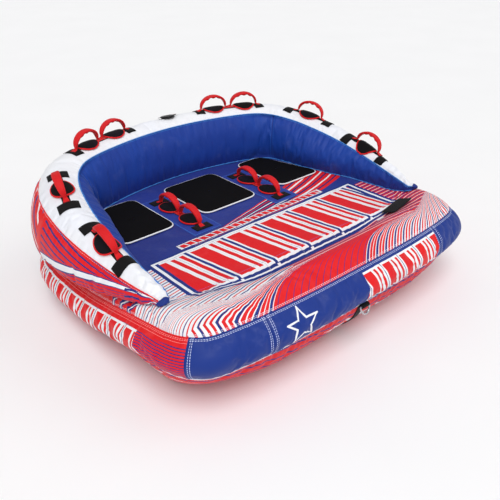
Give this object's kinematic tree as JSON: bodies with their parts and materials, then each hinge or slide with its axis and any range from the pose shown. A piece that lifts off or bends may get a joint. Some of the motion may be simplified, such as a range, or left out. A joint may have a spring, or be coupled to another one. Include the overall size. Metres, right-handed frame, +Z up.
{
  "type": "towable tube",
  "caption": "Sit-in towable inflatable with a flat deck, wrap-round padded backrest, foam-gripped webbing handles, seat pads, valves, cover zip and bow tow point.",
  "frame": {"origin": "middle of the overall footprint, on the floor under the flat underside", "axes": "+Z up, +X across to the right side seen from the bow looking aft, +Y from the bow to the stern"},
  "size_m": [2.096, 1.8815, 0.8737],
  "materials": {
    "cover_red": "woven nylon, slight sheen",
    "cover_blue": "woven nylon, slight sheen",
    "cover_white": "woven nylon, slight sheen",
    "bladder": "calendered PVC",
    "pad_black": "embossed EVA foam",
    "foam_black": "fabric-covered foam",
    "foam_red": "covered foam on webbing",
    "webbing_black": "woven webbing",
    "valve_black": "moulded",
    "label_white": "blank woven label",
    "zip_metal": "satin",
    "ring_steel": "satin"
  },
  "bodies": {
    "tube": {"deck_panel": "cover_blue", "top_ring_panel": "cover_red", "band_bow": "cover_blue", "band_corner_left": "cover_blue", "band_corner_right": "cover_blue", "band_left": "cover_red", "band_right": "cover_red", "band_stern": "cover_blue", "hull_panel": "cover_red", "backrest_inner_panel": "cover_blue", "backrest_rim_panel": "cover_white", "backrest_outer_panel": "cover_red", "arm_cap_left": "cover_blue", "arm_cap_right": "cover_blue", "base_bladder": "bladder", "backrest_bladder": "bladder", "seat_pad_left": "pad_black", "seat_pad_centre": "pad_black", "seat_pad_right": "pad_black", "patch_deck_left": "cover_blue", "patch_deck_right": "cover_blue", "webbing_deck_left": "webbing_black", "webbing_deck_right": "webbing_black", "webbing_rear_left": "webbing_black", "webbing_rear_right": "webbing_black", "webbing_arm_left_rear": "webbing_black", "webbing_arm_left_front": "webbing_black", "webbing_arm_right_rear": "webbing_black", "webbing_arm_right_front": "webbing_black", "knuckle_guard_deck_left": "foam_black", "knuckle_guard_deck_right": "foam_black", "knuckle_guard_rear_left": "foam_black", "knuckle_guard_rear_right": "foam_black", "knuckle_guard_arm_left_rear": "foam_black", "knuckle_guard_arm_left_front": "foam_black", "knuckle_guard_arm_right_rear": "foam_black", "knuckle_guard_arm_right_front": "foam_black", "rear_valve_body": "valve_black", "base_valve_body": "valve_black", "care_label": "label_white", "cover_zip_tape": "webbing_black", "tow_strap": "webbing_black"},
    "deck_left_1": {"grip_deck_left_1": "foam_red"},
    "deck_left_2": {"grip_deck_left_2": "foam_red"},
    "deck_right_1": {"grip_deck_right_1": "foam_red"},
    "deck_right_2": {"grip_deck_right_2": "foam_red"},
    "rear_left_1": {"grip_rear_left_1": "foam_red"},
    "rear_left_2": {"grip_rear_left_2": "foam_red"},
    "rear_right_1": {"grip_rear_right_1": "foam_red"},
    "rear_right_2": {"grip_rear_right_2": "foam_red"},
    "arm_left_rear": {"grip_arm_left_rear": "foam_red"},
    "arm_left_front": {"grip_arm_left_front": "foam_red"},
    "arm_right_rear": {"grip_arm_right_rear": "foam_red"},
    "arm_right_front": {"grip_arm_right_front": "foam_red"},
    "rear_lid": {"rear_valve_lid": "valve_black"},
    "rear_cap": {"rear_valve_cap": "valve_black"},
    "base_cap": {"base_valve_cap": "valve_black"},
    "base_flap": {"base_valve_flap": "webbing_black"},
    "zip_slider": {"cover_zip_slider": "zip_metal"},
    "ring": {"tow_ring": "ring_steel"}
  },
  "joints": [
    {"name": "grip_deck_left_1_swing", "type": "hinge", "parent": "tube", "child": "deck_left_1", "pos_m": [-0.29, 0.0969, 0.457], "axis": [0, 1, 0], "range_deg": [-38, 38]},
    {"name": "grip_deck_left_2_swing", "type": "hinge", "parent": "tube", "child": "deck_left_2", "pos_m": [-0.29, 0.2929, 0.457], "axis": [0, 1, 0], "range_deg": [-38, 38]},
    {"name": "grip_deck_right_1_swing", "type": "hinge", "parent": "tube", "child": "deck_right_1", "pos_m": [0.29, 0.0969, 0.457], "axis": [0, 1, 0], "range_deg": [-38, 38]},
    {"name": "grip_deck_right_2_swing", "type": "hinge", "parent": "tube", "child": "deck_right_2", "pos_m": [0.29, 0.2929, 0.457], "axis": [0, 1, 0], "range_deg": [-38, 38]},
    {"name": "grip_rear_left_1_swing", "type": "hinge", "parent": "tube", "child": "rear_left_1", "pos_m": [-0.54101, 0.69294, 0.78857], "axis": [0.9406, 0.3386, 0.0249], "range_deg": [-38, 38]},
    {"name": "grip_rear_left_2_swing", "type": "hinge", "parent": "tube", "child": "rear_left_2", "pos_m": [-0.34174, 0.74694, 0.79158], "axis": [0.9795, 0.2011, 0.0119], "range_deg": [-38, 38]},
    {"name": "grip_rear_right_1_swing", "type": "hinge", "parent": "tube", "child": "rear_right_1", "pos_m": [0.38775, 0.73666, 0.79102], "axis": [0.9757, -0.2188, -0.012], "range_deg": [-38, 38]},
    {"name": "grip_rear_right_2_swing", "type": "hinge", "parent": "tube", "child": "rear_right_2", "pos_m": [0.58862, 0.67328, 0.78701], "axis": [0.9265, -0.375, -0.0307], "range_deg": [-38, 38]},
    {"name": "grip_arm_left_rear_swing", "type": "hinge", "parent": "tube", "child": "arm_left_rear", "pos_m": [-0.87928, 0.33633, 0.73615], "axis": [0.288, 0.9394, 0.1858], "range_deg": [-38, 38]},
    {"name": "grip_arm_right_rear_swing", "type": "hinge", "parent": "tube", "child": "arm_right_rear", "pos_m": [0.87928, 0.33633, 0.73615], "axis": [0.288, -0.9394, -0.1858], "range_deg": [-38, 38]},
    {"name": "grip_arm_left_front_swing", "type": "hinge", "parent": "tube", "child": "arm_left_front", "pos_m": [-0.91247, -0.13595, 0.63535], "axis": [0.0113, 0.9665, 0.2563], "range_deg": [-38, 38]},
    {"name": "grip_arm_right_front_swing", "type": "hinge", "parent": "tube", "child": "arm_right_front", "pos_m": [0.91247, -0.13595, 0.63535], "axis": [0.0113, -0.9665, -0.2563], "range_deg": [-38, 38]},
    {"name": "rear_valve_lid_hinge", "type": "hinge", "parent": "tube", "child": "rear_lid", "pos_m": [0.12618, 0.78489, 0.78553], "axis": [0.0501, 0.9703, -0.2368], "range_deg": [0, 150]},
    {"name": "rear_valve_cap_turn", "type": "hinge", "parent": "tube", "child": "rear_cap", "pos_m": [0.06614, 0.78602, 0.77747], "axis": [0.0146, 0.2363, 0.9716], "range_deg": [0, 90]},
    {"name": "base_valve_cap_turn", "type": "hinge", "parent": "tube", "child": "base_cap", "pos_m": [0.63095, -0.59601, 0.46505], "axis": [-0.1747, 0.3483, 0.921], "range_deg": [0, 90]},
    {"name": "base_valve_flap_hinge", "type": "hinge", "parent": "tube", "child": "base_flap", "pos_m": [0.62891, -0.5433, 0.45743], "axis": [0.9846, 0.0618, 0.1634], "range_deg": [-100, 0]},
    {"name": "cover_zip_slide", "type": "slide", "parent": "tube", "child": "zip_slider", "axis": [1, 0, 0], "range_m": [0, 0.53]},
    {"name": "tow_ring_swing", "type": "hinge", "parent": "tube", "child": "ring", "pos_m": [0, -0.91002, 0.25526], "axis": [1, 0, 0], "range_deg": [-50, 32]}
  ]
}
